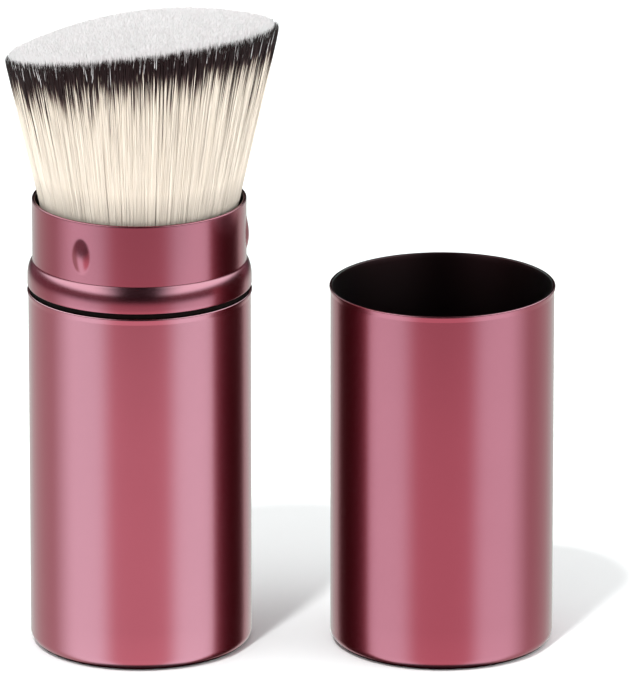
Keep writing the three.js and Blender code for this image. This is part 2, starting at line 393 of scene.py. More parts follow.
class StudioSettings(bpy.types.PropertyGroup):
    """Floor, lights and camera"""

    floor_radius: bpy.props.FloatProperty(
        name="Floor radius", description="Radius of the pale floor", default=6, unit="LENGTH"
    )
    lens: bpy.props.FloatProperty(name="Lens", description="Focal length in millimetres", default=550.0)
    camera_place: bpy.props.FloatVectorProperty(
        name="Camera place",
        description="Where the camera stands",
        subtype="XYZ",
        default=(0.02752, -1.51501, 0.51453),
    )
    camera_pitch: bpy.props.FloatProperty(
        name="Camera pitch",
        description="Downward tilt of the camera",
        default=math.radians(17.118),
        subtype="ANGLE",
    )
    key_strength: bpy.props.FloatProperty(
        name="Key strength", description="Strength of the light that throws the shadows", default=1.7
    )
    key_spread: bpy.props.FloatProperty(
        name="Key spread", description="Width of the key light in degrees, for soft shadows", default=4.0
    )
    left_strength: bpy.props.FloatProperty(
        name="Left strength", description="Strength of the low, soft light from the left", default=0.9
    )
    right_strength: bpy.props.FloatProperty(
        name="Right strength", description="Strength of the low, soft light from the right", default=2.2
    )
    dome_strength: bpy.props.FloatProperty(
        name="Dome strength", description="Strength of the soft light from above", default=2.85
    )
    surround: bpy.props.FloatVectorProperty(
        name="Surround",
        description="The table that the metal mirrors",
        subtype="COLOR",
        size=3,
        default=(1.32, 1.32, 1.32),
        max=10,
    )
    behind: bpy.props.FloatVectorProperty(
        name="Behind",
        description="The table behind the brush, as its edges mirror it",
        subtype="COLOR",
        size=3,
        default=(0.86, 1.07, 1.0),
        max=10,
    )
    softbox: bpy.props.FloatVectorProperty(
        name="Softbox",
        description="What it mirrors to each side",
        subtype="COLOR",
        size=3,
        default=(1.82, 3.72, 3.46),
        max=10,
    )
    # height of the screens that glow with each shell's painted reflection
    screen_height: bpy.props.FloatProperty(
        name="Flag height",
        description="Reach of the dark screens, up from the table and down into its mirror image",
        default=64 * MM,
        unit="LENGTH",
    )
    table_depth: bpy.props.FloatProperty(
        name="Table depth", description="How far the table reaches to the front", default=0.4, unit="LENGTH"
    )


class BrushSettings(bpy.types.PropertyGroup):
    """All settings of the brush and its studio"""

    shells: bpy.props.PointerProperty(type=ShellSizes)
    sleeve: bpy.props.PointerProperty(type=SleeveSizes)
    tuft: bpy.props.PointerProperty(type=TuftSizes)
    colours: bpy.props.PointerProperty(type=FinishColours)
    studio: bpy.props.PointerProperty(type=StudioSettings)


def arc(centre, reach, start, end, steps):
    """Points of an elliptic arc as (radius, height), with angles in degrees from outwards to up"""
    angles = (math.radians(start + (end - start) * i / steps) for i in range(steps + 1))
    return [(centre[0] + reach[0] * math.cos(a), centre[1] + reach[1] * math.sin(a)) for a in angles]


def rows(start, end, steps):
    """Evenly spaced (radius, height) points after start, up to and with end"""
    return [
        tuple(s + (e - s) * (i + 1) / steps for s, e in zip(start, end)) for i in range(steps)
    ]


def rim_points(outer, inner, height, radius, steps=4):
    """A rim's two rounded edges, from its outer wall over the top to its inner wall"""
    return [
        *arc((outer - radius, height - radius), (radius, radius), 0, 90, steps),
        *arc((inner + radius, height - radius), (-radius, radius), 90, 0, steps),
    ]


def cup_outline(radius, height, sizes):
    """A cup's section, from the edge of its flat underside up its wall, over its rim and down inside"""
    edge = sizes.edge_radius
    inner_edge = edge - sizes.wall
    corner = (radius - edge, edge)
    bore = radius - sizes.wall
    mouth = radius + sizes.lip
    lip_foot = height - sizes.lip_height
    rim = rim_points(mouth, mouth - sizes.wall, height, sizes.rim_radius)
    return [
        *arc(corner, (edge, edge), -90, 0, steps=10),
        *rows((radius, edge), (radius, lip_foot - RIM_LOOP), steps=12),
        (radius, lip_foot),
        (mouth, rim[0][1] - RIM_LOOP),
        *rim,
        (bore, lip_foot),
        *rows((bore, lip_foot), (bore, edge), steps=4),
        *arc(corner, (inner_edge, inner_edge), 0, -90, steps=6)[1:],
    ]


def crown_points(sizes, steps=14):
    """The bead's upper part, which curves in ever faster and meets the neck in a crease"""
    reach = sizes.bead_radius - sizes.neck_radius
    foot = sizes.bead_level + sizes.bead_height - sizes.crown_height
    shares = [i / steps for i in range(steps + 1)]
    return [(sizes.bead_radius - reach * share**3, foot + sizes.crown_height * share) for share in shares]


def sleeve_outline(sizes, wall, rim_radius, rim_height):
    """The sleeve's section as a closed loop of (radius, height) points"""
    bead_top = sizes.bead_level + sizes.bead_height
    lower = sizes.bead_lower_radius
    bore = sizes.tube_radius - wall
    neck = sizes.neck_radius
    neck_bore = neck - wall
    step = sizes.bead_level + wall
    rim = rim_points(neck, neck_bore, rim_height, rim_radius)
    bump_middle = rim_height - sizes.bump_drop
    bump_reach = sizes.bump_length / 2 + 2 * RIM_LOOP
    bump_foot = (neck, bump_middle - bump_reach)
    return [
        (bore, SLEEVE_LOW.z),
        (sizes.tube_radius, SLEEVE_LOW.z),
        *rows((sizes.tube_radius, SLEEVE_LOW.z), (sizes.tube_radius, sizes.bead_level), steps=4),
        *arc((sizes.bead_radius - lower, sizes.bead_level + lower), (lower, lower), -90, 0, steps=8),
        *crown_points(sizes),
        (neck, bead_top + RIM_LOOP),
        bump_foot,
        *rows(bump_foot, (neck, bump_middle + bump_reach), steps=34),
        (neck, rim[0][1] - RIM_LOOP),
        *rim,
        (neck_bore, step),
        (bore, step),
        (bore, SLEEVE_LOW.z),
    ]


def add_circle(name, radius, centre, sides, fill):
    """A new, named piece that starts as a circle: filled as NGON, or open as NOTHING"""
    bpy.ops.object.select_all(action="DESELECT")
    bpy.ops.mesh.primitive_circle_add(vertices=sides, radius=radius, fill_type=fill, location=centre)
    piece = bpy.context.object
    piece.name = name
    piece.data.name = name
    return piece


def select_whole(piece):
    """Opens a piece in edit mode with all of it selected"""
    bpy.context.view_layer.objects.active = piece
    bpy.ops.object.mode_set(mode="EDIT")
    bpy.ops.mesh.select_all(action="SELECT")


def draw_up(piece, points, centre):
    """Extrudes a circle from point to point of a (radius, height) outline"""
    select_whole(piece)
    for (radius, height), (next_radius, next_height) in zip(points, points[1:]):
        scale = next_radius / radius
        bpy.ops.mesh.extrude_region_move(TRANSFORM_OT_translate={"value": (0, 0, next_height - height)})
        bpy.ops.transform.resize(value=(scale, scale, 1), center_override=(*centre, next_height))
    bpy.ops.object.mode_set(mode="OBJECT")
    return piece


def close_up(piece):
    """Merges what meets, turns every face outwards and puts the piece's place in its mesh"""
    select_whole(piece)
    bpy.ops.mesh.remove_doubles(threshold=MERGE_DISTANCE)
    bpy.ops.mesh.normals_make_consistent(inside=False)
    bpy.ops.object.mode_set(mode="OBJECT")
    bpy.ops.object.transform_apply(location=True, rotation=True, scale=True)
    bpy.ops.object.shade_smooth_by_angle(angle=SMOOTH_ANGLE)
    return piece


def drawn_cup(name, radius, height, centre, sizes):
    """A deep-drawn cup, closed end down, raised from a disc"""
    points = cup_outline(radius, height, sizes)
    cup = add_circle(name, points[0][0], (*centre, points[0][1]), sizes.sides, "NGON")
    draw_up(cup, points, centre)
    return close_up(cup)


def bump_weight(place, bump, middle, sizes):
    """Weight, up to 1, of a point of the neck in the bump at a turn, or 0 outside it"""
    x, y, z = place
    off = (math.atan2(x, -y) - bump + math.pi) % (2 * math.pi) - math.pi
    across = off * sizes.neck_radius / (sizes.bump_width / 2)
    up = (z - middle) / (sizes.bump_length / 2)
    reach = across * across + up * up
    if reach >= 1:
        return 0
    return (1 - reach) ** BUMP_STEEPNESS * (1 - BUMP_SAG * up) / BUMP_PEAK


def press_bumps(sleeve, sizes, rim_height):
    """Presses oval bumps out of the neck's wall, by weights that a Displace modifier reads"""
    group = sleeve.vertex_groups.new(name="bumps")
    middle = rim_height - sizes.bump_drop
    outside = sizes.neck_radius - RIM_LOOP / 2
    turns = [sizes.first_bump + 2 * math.pi * i / sizes.bump_count for i in range(sizes.bump_count)]
    for vertex in sleeve.data.vertices:
        if vertex.co.xy.length < outside or abs(vertex.co.z - middle) > sizes.bump_length / 2:
            continue
        weight = max((bump_weight(vertex.co, bump, middle, sizes) for bump in turns), default=0)
        if weight > 0:
            group.add([vertex.index], weight, "REPLACE")
    press = sleeve.modifiers.new("press", "DISPLACE")
    press.vertex_group = group.name
    press.mid_level = 0
    press.strength = sizes.bump_height
    bpy.ops.object.modifier_apply(modifier=press.name)
    sleeve.vertex_groups.remove(sleeve.vertex_groups[0])
    return sleeve


class Nodes:
    """A material's or the world's node tree, with short calls for adding and linking nodes"""

    def __init__(self, owner):
        owner.use_nodes = True
        self.owner = owner
        self.tree = owner.node_tree

    def add(self, kind, **values):
        """A node with its properties and sockets set, a socket's name written with _ for a space"""
        node = self.tree.nodes.new(kind)
        for key, value in values.items():
            if key in node.bl_rna.properties:
                setattr(node, key, value)
            else:
                node.inputs[key.replace("_", " ")].default_value = value
        return node

    def set_shader(self, **values):
        """Sets the shader's own sockets, named with _ for a space"""
        for key, value in values.items():
            self.tree.nodes["Principled BSDF"].inputs[key.replace("_", " ")].default_value = value

    def link(self, output, socket):
        self.tree.links.new(output, socket)

    def to_shader(self, output, name):
        self.link(output, self.tree.nodes["Principled BSDF"].inputs[name])

    def to_surface(self, output):
        self.link(output, self.tree.nodes["Material Output"].inputs["Surface"])

    def feed(self, socket, value):
        """Sets a socket to a number, or links it to another node's output"""
        if isinstance(value, (int, float)):
            socket.default_value = value
        else:
            self.link(value, socket)

    def calculate(self, operation, *values):
        node = self.add("ShaderNodeMath", operation=operation)
        for socket, value in zip(node.inputs, values):
            self.feed(socket, value)
        return node.outputs["Value"]

    def mix(self, blend, factor, first, second):
        node = self.add("ShaderNodeMix", data_type="RGBA", blend_type=blend)
        for name, value in (("Factor", factor), ("A", first), ("B", second)):
            self.feed(node.inputs[name], value)
        return node.outputs["Result"]

    def ramp(self, value, stops):
        """A colour ramp on a value, from (position, colour) stops"""
        node = self.add("ShaderNodeValToRGB")
        elements = node.color_ramp.elements
        while len(elements) < len(stops):
            elements.new(1)
        for element, (position, colour) in zip(elements, stops):
            element.position = position
            element.color = (*colour, 1)
        self.link(value, node.inputs["Fac"])
        return node.outputs["Color"]

    def spread(self, value, low, high, start=0.0, end=1.0):
        """value, from start to end, laid out between low and high"""
        sockets = {"From_Min": start, "From_Max": end, "To_Min": low, "To_Max": high}
        node = self.add("ShaderNodeMapRange", **sockets)
        self.link(value, node.inputs["Value"])
        return node.outputs["Result"]

    def along(self, axis):
        """A place's X, Y or Z in the piece's own coordinates"""
        parts = self.add("ShaderNodeSeparateXYZ")
        self.link(self.add("ShaderNodeTexCoord").outputs["Object"], parts.inputs["Vector"])
        return parts.outputs[axis]

    def noise(self, scale, detail=2.0):
        noise = self.add("ShaderNodeTexNoise", Scale=scale, Detail=detail)
        self.link(self.add("ShaderNodeTexCoord").outputs["Object"], noise.inputs["Vector"])
        return noise.outputs["Fac"]

    def bump(self, height, strength, distance):
        bump = self.add("ShaderNodeBump", Strength=strength, Distance=distance)
        self.link(height, bump.inputs["Height"])
        self.to_shader(bump.outputs["Normal"], "Normal")

    def tint(self, value, colour, darker):
        """The shader's colour, moved between a darker shade and itself by a value"""
        shade = [channel * darker for channel in colour]
        self.to_shader(self.ramp(value, ((0, shade), (1, colour))), "Base Color")


def material_nodes(name):
    return Nodes(bpy.data.materials.new(name))


def greys(*stops):
    return [(position, (level,) * 3) for position, level in stops]


def satin_metal(name, colour, rough, play=0.03):
    """Blasted metal in the colour given, whose roughness varies by the play"""
    nodes = material_nodes(name)
    grain = nodes.noise(scale=2600, detail=3)
    nodes.tint(nodes.noise(scale=90), colour, darker=0.94)
    nodes.to_shader(nodes.spread(grain, rough - play, rough + play), "Roughness")
    nodes.bump(grain, strength=0.06, distance=0.02 * MM)
    nodes.set_shader(Metallic=1)
    return nodes.owner


def moulded(name, colour, rough, scale=900, shine=0.5, play=0.06):
    """A moulded or matt finish with a fine grain, whose roughness varies by the play"""
    nodes = material_nodes(name)
    grain = nodes.noise(scale)
    nodes.tint(grain, colour, darker=0.85)
    nodes.to_shader(nodes.spread(grain, rough - play, rough + play), "Roughness")
    nodes.bump(grain, strength=0.1, distance=0.03 * MM)
    nodes.set_shader(Specular_IOR_Level=shine)
    return nodes.owner


def hair_finish(colours):
    """Cream hair with a dark band and white tips, placed along each strand by its own attribute, darkened
    by painted shade where it goes into the sleeve
    """
    nodes = material_nodes("hair")
    from_tip = nodes.add("ShaderNodeAttribute", attribute_name="from_tip").outputs["Fac"]
    tone = nodes.add("ShaderNodeAttribute", attribute_name="tone").outputs["Fac"]
    stops = (
        (0.0, colours.tips),
        (0.02, colours.tips),
        (0.045, colours.band),
        (0.33, colours.band),
        (0.38, (0.13, 0.075, 0.07)),
        (0.44, (0.50, 0.42, 0.34)),
        (0.54, colours.hair),
        (1.0, colours.hair),
    )
    # painted shade: the hair's colour darkens towards the sleeve's rim and stays dark below it
    rim = SLEEVE_HIGH.z
    painted_sleeve_shade = nodes.spread(nodes.along("Z"), SLEEVE_SHADE, 1, start=rim, end=rim + SHADE_HEIGHT)
    level = nodes.calculate("MULTIPLY", nodes.spread(tone, DARKEST_TONE, 1), painted_sleeve_shade)
    nodes.to_shader(nodes.mix("MULTIPLY", 1, nodes.ramp(from_tip, stops), level), "Base Color")
    nodes.set_shader(Roughness=0.5, Specular_IOR_Level=0.12)
    return nodes.owner


def paint_inside_shade(piece, centre, colours):
    """Gives the faces that look towards a shell's axis their own, darker material, painted shade of the
    shell's hollow
    """
    inside = satin_metal(f"painted_shade_inside_of_{piece.name}", colours.inside, colours.inside_satin)
    piece.data.materials.append(inside)
    for face in piece.data.polygons:
        outwards = Vector((face.center.x - centre[0], face.center.y - centre[1]))
        if face.normal.xy.dot(outwards) < INSIDE_FACING * outwards.length:
            face.material_index = 1
    return piece


def finish_piece(piece, body, slot, material, *nodes):
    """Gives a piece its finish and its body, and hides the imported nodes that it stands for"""
    piece.data.materials.clear()
    piece.data.materials.append(material)
    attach(piece, body)
    if nodes:
        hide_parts(*nodes)
    return piece


class MESH_OT_brush_base(bpy.types.Operator):
    """Draw the base's cup"""

    bl_idname = "mesh.brush_base"
    bl_label = "Base"

    def execute(self, context):
        settings = context.scene.makeup_brush
        sizes, colours = settings.shells, settings.colours
        shell = drawn_cup("base_cup", sizes.base_radius, sizes.base_height, BASE_PLACE, sizes)
        metal = satin_metal("anodised_base", colours.metal, colours.satin)
        finish_piece(shell, "base", "anodised_aluminium", metal, "base_shell")
        paint_inside_shade(shell, BASE_PLACE, colours)
        return {"FINISHED"}


class MESH_OT_brush_cap(bpy.types.Operator):
    """Draw the cap's cup"""

    bl_idname = "mesh.brush_cap"
    bl_label = "Cap"

    def execute(self, context):
        settings = context.scene.makeup_brush
        sizes, colours = settings.shells, settings.colours
        shell = drawn_cup("cap_cup", sizes.cap_radius, sizes.cap_height, CAP_PLACE, sizes)
        metal = satin_metal("anodised_cap", colours.second_metal, colours.satin)
        finish_piece(shell, "cap", "anodised_aluminium", metal, "cap_shell")
        paint_inside_shade(shell, CAP_PLACE, colours)
        return {"FINISHED"}


class MESH_OT_brush_sleeve(bpy.types.Operator):
    """Draw the sliding sleeve and press its bumps"""

    bl_idname = "mesh.brush_sleeve"
    bl_label = "Sleeve"

    def execute(self, context):
        settings = context.scene.makeup_brush
        sizes, colours = settings.sleeve, settings.colours
        outline = sleeve_outline(sizes, settings.shells.wall, settings.shells.rim_radius, SLEEVE_HIGH.z)
        sleeve = add_circle("sleeve", outline[0][0], (*BASE_PLACE, outline[0][1]), sizes.sides, "NOTHING")
        draw_up(sleeve, outline, BASE_PLACE)
        close_up(sleeve)
        press_bumps(sleeve, sizes, SLEEVE_HIGH.z)
        metal = satin_metal("anodised_sleeve", colours.second_metal, colours.satin)
        finish_piece(sleeve, "sleeve", "anodised_aluminium", metal, "neck_sleeve")
        paint_inside_shade(sleeve, BASE_PLACE, colours)
        return {"FINISHED"}


class StrandKind:
    """A kind of strand: three-sided, modelled once from 0 at its root to 1 at its pointed tip"""

    body_end = 0.93  # share of the length from which a strand narrows

    def __init__(self, levels, taper_width, taper_lift, softness):
        self.corners, self.faces = self.model(levels)
        self.stations = (0, self.body_end, levels[-2], 1)
        self.widths = (0.85, 1.15, taper_width, 0)  # as shares of the strand's own
        self.lifts = (0.05, 0.05, taper_lift, 3)  # how far its shading is turned upwards
        self.softness = softness

    @staticmethod
    def model(levels):
        strand = add_circle("strand", 1, (0, 0, 0), 3, "NOTHING")
        select_whole(strand)
        for low, high in zip(levels, levels[1:]):
            bpy.ops.mesh.extrude_region_move(TRANSFORM_OT_translate={"value": (0, 0, high - low)})
        bpy.ops.mesh.merge(type="CENTER")
        bpy.ops.mesh.select_all(action="SELECT")
        bpy.ops.mesh.normals_make_consistent(inside=False)
        bpy.ops.mesh.quads_convert_to_tris()
        bpy.ops.object.mode_set(mode="OBJECT")
        mesh = strand.data
        corners = np.array([vertex.co for vertex in mesh.vertices])
        faces = np.array([list(face.vertices) for face in mesh.polygons])
        bpy.data.objects.remove(strand)
        bpy.data.meshes.remove(mesh)
        return corners, faces


def stretch_at_cut(x, y, sizes):
    """How far a strand rooted at x, y has moved out, as a ratio, where it meets the slanted, domed cut"""
    spread = sizes.spread / MM
    slope = math.tan(sizes.cut_slant) * (x * math.cos(sizes.cut_facing) + y * math.sin(sizes.cut_facing))
    fall = sizes.cut_dome * (x * x + y * y) / sizes.cut_radius**2
    b = 1 / spread - slope
    c = sizes.root_level - 1 / spread - sizes.cut_level
    return (-2 * c) / (b + np.sqrt(b * b - 4 * fall * c))


class StrandPlan:
    """Where every strand stands, leans and ends and how it is tinted, as arrays over the strands"""

    uneven_cut = 0.2 * MM
    edge_start, edge_width = 0.95, 0.025  # shares of the radius, where the tuft's edge begins
    clump_unevenness = 0.7  # share of a clump's width by which its limits stray
    clump_limit = 0.8  # furthest that a strand counts as off its clump's middle, in clump widths
    clump_draw = 0.55  # share of that by which its tip is drawn in
    clump_lean = 0.25 * MM
    tip_lean = 0.06 * MM
    edge_dip, edge_dip_unevenness = 2.1 * MM, 0.35 * MM  # how far the edge's clumps fall between points
    skin_crossing, inner_crossing = 0.6 * MM, 0.25 * MM  # how far strands cross sideways
    outward_lean, skin_sink = 0.25 * MM, 0.1 * MM
    stray_share, stray_reach = 0.02, 0.4 * MM
    own_tone = 0.7  # the rest of a strand's tone is its clump's
    inner_depth = 0.15  # share of the radius over which the band sinks inwards
    white_share = 0.07  # strands at the edge with white tips
    band_unevenness, band_stretch = 0.25 * MM, 0.28
    dark_tip_rise, band_drop, inner_drop = 2.4 * MM, 1.6 * MM, 2 * MM
    free_limit = 1.2  # most that a strand's height counts for, where 1 is the cut on the axis

    def __init__(self, sizes):
        random = np.random.default_rng(sizes.seed)
        count = sizes.inner_strands + sizes.outer_strands
        self.sizes = sizes
        self.outer = np.arange(count) >= sizes.inner_strands
        share = np.where(self.outer, sizes.skin + (1 - sizes.skin) * random.random(count), sizes.skin)
        share[~self.outer] *= np.sqrt(np.linspace(0, 1, sizes.inner_strands))
        golden_turn = 3 - math.sqrt(5)
        turn = np.where(self.outer, random.random(count) * 2, np.arange(count) * golden_turn) * math.pi
        self.turn = turn % (2 * math.pi)
        self.x = sizes.root_radius * share * np.cos(turn)
        self.y = sizes.root_radius * share * np.sin(turn)
        stretch = stretch_at_cut(self.x, self.y, sizes)
        full = sizes.root_level + (stretch - 1) * MM / sizes.spread
        self.tip = full - np.abs(random.normal(0, self.uneven_cut, count))
        edge = np.clip((share - self.edge_start) / self.edge_width, 0, 1)
        self.gather(random, count, sizes.root_radius * share * stretch, edge)
        self.set_tint(random, count, share, edge)
        self.spin = random.random(count) * 2 * math.pi
        self.width = np.where(self.outer, sizes.fineness, 1) * sizes.thickness / 2

    def gather(self, random, count, reach, edge):
        """Draws the skin's tips together into small points and lets its strands cross at slight angles"""
        clumps = self.sizes.clumps
        limits = np.arange(clumps + 1) + self.clump_unevenness * random.random(clumps + 1)
        limits = 2 * math.pi * limits / clumps
        clump = np.searchsorted(limits, self.turn) % clumps
        middle = (limits[clump] + limits[clump - 1]) / 2
        off = (self.turn - middle + math.pi) % (2 * math.pi) - math.pi
        off = np.clip(off * clumps / (2 * math.pi), -self.clump_limit, self.clump_limit)
        width = 2 * math.pi / clumps * reach
        pull = -self.clump_draw * off * width + random.normal(0, self.clump_lean, clumps)[clump]
        self.pull = np.where(self.outer, pull, 0) + random.normal(0, self.tip_lean, count)
        dip = np.abs(off) * self.edge_dip + random.random(clumps)[clump] * self.edge_dip_unevenness
        self.tip -= edge * dip
        crossing = np.where(self.outer, self.skin_crossing, self.inner_crossing)
        self.cross = random.normal(0, 1, count) * crossing
        self.outwards = random.normal(0, self.outward_lean, count)
        self.outwards[self.outer] = self.skin_sink - np.abs(self.outwards[self.outer])
        self.outwards += (random.random(count) < self.stray_share) * self.stray_reach
        own_tone = self.own_tone * random.random(count)
        self.tone = own_tone + (1 - self.own_tone) * random.random(clumps)[clump]

    def set_tint(self, random, count, share, edge):
        """How far each strand's band is moved and stretched: up to the very tip at the tuft's edge"""
        inwards = np.clip((self.sizes.skin - share) / self.inner_depth, 0, 1)
        dark_tipped = edge * (random.random(count) > self.white_share)
        self.band_shift = random.normal(0, self.band_unevenness, count)
        self.band_shift += self.dark_tip_rise * dark_tipped - self.band_drop - self.inner_drop * inwards
        self.band_scale = np.exp(random.normal(0, self.band_stretch, count))

    def shape(self, chosen, kind):
        """The chosen strands' points, distances from the tip and shading directions, for one kind"""
        sizes = self.sizes

        def own(values):
            return values[chosen][:, None]

        along = kind.corners[:, 2][None, :]
        tip, turn = own(self.tip), own(self.turn)
        height = sizes.bundle_level + along * (tip - sizes.bundle_level)
        above = np.maximum(height - sizes.root_level, 0)
        moved = 1 + above * sizes.spread / MM
        free = np.clip(above / (sizes.cut_level - sizes.root_level), 0, self.free_limit)
        gathered = np.clip(1 - (tip - height) / sizes.gather_length, 0, 1) ** 2
        sideways = own(self.cross) * free + own(self.pull) * gathered
        outwards = own(self.outwards) * free * free
        width = own(self.width) * np.interp(along, kind.stations, kind.widths)
        angle = np.arctan2(kind.corners[:, 1], kind.corners[:, 0])[None, :] + own(self.spin)
        x = own(self.x) * moved + outwards * np.cos(turn) - sideways * np.sin(turn)
        y = own(self.y) * moved + outwards * np.sin(turn) + sideways * np.cos(turn)
        points = np.stack([x + np.cos(angle) * width, y + np.sin(angle) * width, height], -1)
        from_tip = (tip - height) * own(self.band_scale) + own(self.band_shift)
        directions = [
            np.cos(angle) + kind.softness * np.cos(turn),
            np.sin(angle) + kind.softness * np.sin(turn),
            np.broadcast_to(np.interp(along, kind.stations, kind.lifts), x.shape),
        ]
        return points.reshape(-1, 3), from_tip.reshape(-1), np.stack(directions, -1).reshape(-1, 3)


def plant(name, plan, groups):
    """One piece from groups of (kind, chosen strands), with the attributes that tint them"""
    corners, faces, places, tones, directions = [], [], [], [], []
    start = 0
    for kind, chosen in groups:
        points, from_tip, facing = plan.shape(chosen, kind)
        firsts = start + np.arange(len(chosen)) * len(kind.corners)
        corners.append(points)
        faces.append((kind.faces[None] + firsts[:, None, None]).reshape(-1, 3))
        places.append(from_tip / HAIR_RAMP_LENGTH)
        tones.append(np.repeat(plan.tone[chosen], len(kind.corners)))
        directions.append(facing)
        start += len(points)
    mesh = bpy.data.meshes.new(name)
    mesh.from_pydata(np.concatenate(corners).tolist(), [], np.concatenate(faces).tolist())
    for attribute_name, values in (("from_tip", places), ("tone", tones)):
        attribute = mesh.attributes.new(attribute_name, "FLOAT", "POINT")
        attribute.data.foreach_set("value", np.concatenate(values).astype(np.float32))
    mesh.shade_smooth()
    normals = np.concatenate(directions)
    normals /= np.linalg.norm(normals, axis=1, keepdims=True)
    mesh.normals_split_custom_set_from_vertices(normals.tolist())
    piece = bpy.data.objects.new(name, mesh)
    bpy.context.collection.objects.link(piece)
    return piece


def sector_at(turn):
    """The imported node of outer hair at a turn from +X, in thirds that start beside the front"""
    sectors = ("bristles_front", "bristles_right", "bristles_left")
    third = 2 * math.pi / len(sectors)
    from_left_edge = (turn + math.pi / 2 + third / 2) % (2 * math.pi)
    return sectors[int(from_left_edge / third)]


class MESH_OT_brush_tuft(bpy.types.Operator):
    """Plant the tuft, in wedges"""

    bl_idname = "mesh.brush_tuft"
    bl_label = "Tuft"

    def execute(self, context):
        settings = context.scene.makeup_brush
        sizes = settings.tuft
        plan = StrandPlan(sizes)
        wedge = (plan.turn / (2 * math.pi) * sizes.wedges).astype(int) % sizes.wedges
        material = hair_finish(settings.colours)
        fine_levels = [0, 0.17, 0.5, 0.78, 0.86, 0.9, StrandKind.body_end, 0.972, 1]
        fine = StrandKind(fine_levels, taper_width=0.8, taper_lift=0.3, softness=HAIR_SOFTNESS)
        blunt_levels = [0, 0.17, StrandKind.body_end, 0.988, 1]
        blunt = StrandKind(blunt_levels, taper_width=1.05, taper_lift=1.6, softness=0)
        for number in range(sizes.wedges):
            own = wedge == number
            groups = (
                (fine, np.flatnonzero(own & plan.outer)),
                (blunt, np.flatnonzero(own & ~plan.outer)),
            )
            piece = plant(f"tuft_{number:02d}", plan, groups)
            middle = 2 * math.pi * (number + 0.5) / sizes.wedges
            finish_piece(piece, "base", "hair", material, sector_at(middle), "bristles_core")
            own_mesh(piece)
        return {"FINISHED"}


class MESH_OT_brush_inside(bpy.types.Operator):
    """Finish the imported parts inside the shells"""

    bl_idname = "mesh.brush_inside"
    bl_label = "Inside parts"

    def execute(self, context):
        black = moulded("black_moulding", (0.006, 0.002, 0.002), 0.7, shine=0.05)
        finishes = {
            "base_liner": black,
            "slide_bush": black,
            "brush_stem": moulded("grey_moulding", (0.16, 0.16, 0.165), 0.5),
            "friction_ring": moulded("ring_rubber", (0.012, 0.012, 0.012), 0.8),
            "base_tape": moulded("foam_tape", (0.78, 0.76, 0.68), 0.9, scale=1800),
            "glue_plug": moulded("set_glue", (0.65, 0.52, 0.28), 0.3, scale=300),
            "root_thread": moulded("wound_thread", (0.75, 0.70, 0.62), 0.9, scale=3000),
            "ferrule": satin_metal("drawn_aluminium", (0.58, 0.58, 0.6), 0.35),
            "ferrule_screw": satin_metal("plated_screw", (0.5, 0.5, 0.52), 0.3),
            "ferrule_washer": satin_metal("plated_washer", (0.5, 0.5, 0.52), 0.3),
        }
        for node, material in finishes.items():
            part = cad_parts[node]
            part.data.materials.clear()
            part.data.materials.append(material)
        return {"FINISHED"}


def add_sun(name, azimuth, elevation, spread, strength):
    """A distant soft light, by its bearing from the front towards the cap, that metal doesn't mirror"""
    bpy.ops.object.select_all(action="DESELECT")
    turn, lift = math.radians(azimuth), math.radians(elevation)
    direction = Vector(
        (math.sin(turn) * math.cos(lift), -math.cos(turn) * math.cos(lift), math.sin(lift))
    )
    rotation = direction.to_track_quat("Z", "Y").to_euler()
    bpy.ops.object.light_add(type="SUN", location=direction, rotation=rotation)
    light = bpy.context.object
    light.name = name
    light.data.energy = strength
    light.data.angle = math.radians(spread)
    light.visible_glossy = False
    return light


def mirrored_studio(studio):
    """What the metal mirrors: a pale table below, a dark room in front and a softbox to each side"""
    nodes = Nodes(bpy.data.worlds.new("mirrored_studio"))
    parts = nodes.add("ShaderNodeSeparateXYZ")
    nodes.link(nodes.add("ShaderNodeTexCoord").outputs["Generated"], parts.inputs["Vector"])
    sideways = nodes.calculate("ABSOLUTE", parts.outputs["X"])
    forwards = nodes.calculate("MULTIPLY", parts.outputs["Y"], -1)
    bearing = nodes.calculate("DIVIDE", nodes.calculate("ARCTAN2", sideways, forwards), math.pi)
    height = nodes.calculate("MULTIPLY_ADD", parts.outputs["Z"], 0.5, 0.5)
    plain, softbox, behind = studio.surround, studio.softbox, studio.behind
    around = ((0, plain), (0.15, plain), (0.24, softbox), (0.42, softbox), (0.56, behind), (1, behind))
    table = nodes.ramp(height, greys((0.03, 0.05), (0.08, 1), (0.367, 1), (0.44, 0)))
    below = nodes.mix("MULTIPLY", 1, nodes.ramp(bearing, around), table)
    dim, bright = (0.3, 0.2, 0.24), (2.4, 6, 5.2)
    above_front = nodes.ramp(height, greys((0.37, 0), (0.44, 0.03), (0.93, 0.03), (0.98, 0.3)))
    above_sides = nodes.ramp(height, ((0.37, (0, 0, 0)), (0.45, dim), (0.6, dim), (0.67, bright)))
    at_sides = nodes.ramp(sideways, greys((0.3, 0), (0.62, 1)))
    above = nodes.mix("MIX", at_sides, above_front, above_sides)
    nodes.link(nodes.mix("ADD", 1, below, above), nodes.tree.nodes["Background"].inputs["Color"])
    nodes.owner.cycles_visibility.diffuse = False
    return nodes.owner


def keep_out_of_light(piece):
    """Keeps a piece out of the light: it throws no shadow and lights nothing"""
    piece.visible_diffuse = False
    piece.visible_shadow = False
    return piece


def only_mirrored(piece):
    """Leaves a stage piece to be seen in the metal alone"""
    piece.visible_camera = False
    return keep_out_of_light(piece)


def lay_floor(studio):
    """A pale floor that takes the shadows"""
    floor = add_circle("studio_floor", studio.floor_radius, (0, 0, FLOOR_LEVEL), STAGE_SIDES, "NGON")
    nodes = material_nodes("pale_floor")
    nodes.set_shader(Base_Color=(0.875, 0.9, 0.9, 1), Roughness=1, Specular_IOR_Level=0)
    floor.data.materials.append(nodes.owner)
    floor.visible_glossy = False
    return floor


